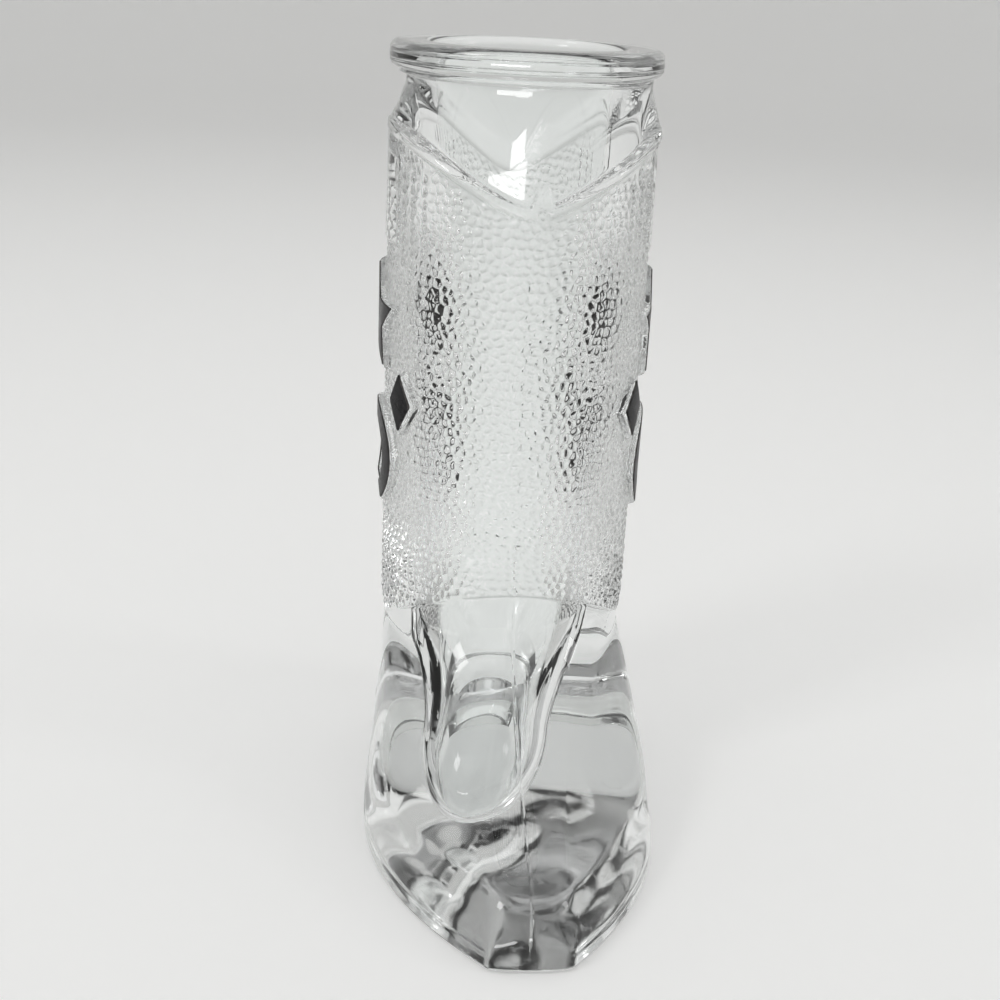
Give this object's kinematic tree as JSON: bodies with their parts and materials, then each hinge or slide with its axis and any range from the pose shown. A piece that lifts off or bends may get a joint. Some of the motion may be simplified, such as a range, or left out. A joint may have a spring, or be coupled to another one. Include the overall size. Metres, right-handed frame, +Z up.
{
  "type": "boot shot glass",
  "caption": "Clear pressed-glass shot glass in the shape of a Western boot, with a round well, a rolled lip and black enamel on raised side ornaments.",
  "frame": {"origin": "on the table, under the middle of the boot's plan box", "axes": "+Z up along the shaft, -Y towards the toe, +X across the boot"},
  "size_m": [0.0392, 0.0764, 0.102],
  "materials": {
    "clear_glass": "fire polished",
    "black_enamel": "fired enamel, satin gloss"
  },
  "bodies": {
    "root": {"glass_boot": "clear_glass", "left_star": "black_enamel", "left_horseshoe": "black_enamel", "left_front_lozenge": "black_enamel", "left_back_lozenge": "black_enamel", "right_star": "black_enamel", "right_horseshoe": "black_enamel", "right_front_lozenge": "black_enamel", "right_back_lozenge": "black_enamel"}
  },
  "joints": []
}
